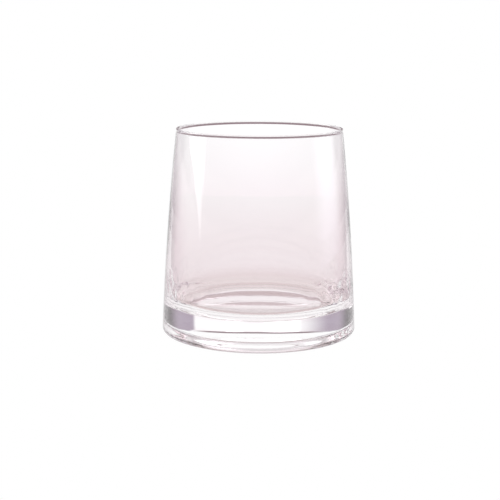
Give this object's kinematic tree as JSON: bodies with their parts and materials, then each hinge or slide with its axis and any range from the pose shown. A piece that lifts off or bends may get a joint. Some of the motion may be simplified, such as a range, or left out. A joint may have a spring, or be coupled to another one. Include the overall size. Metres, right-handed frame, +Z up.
{
  "type": "whiskey tumbler",
  "caption": "Tapered old-fashioned tumbler in clear glass, with a heavy base under a dished well, a recessed foot, a gently bowed wall and a thin fire-polished rim.",
  "frame": {"origin": "centre of the flat ring that the tumbler stands on", "axes": "+Z up along the glass's axis of revolution; the shape is round, so +X and +Y are free"},
  "size_m": [0.086, 0.086, 0.09],
  "materials": {
    "clear_glass": "fire-polished clear glass with a faint rose tint"
  },
  "bodies": {
    "root": {"tumbler_body": "clear_glass"}
  },
  "joints": []
}
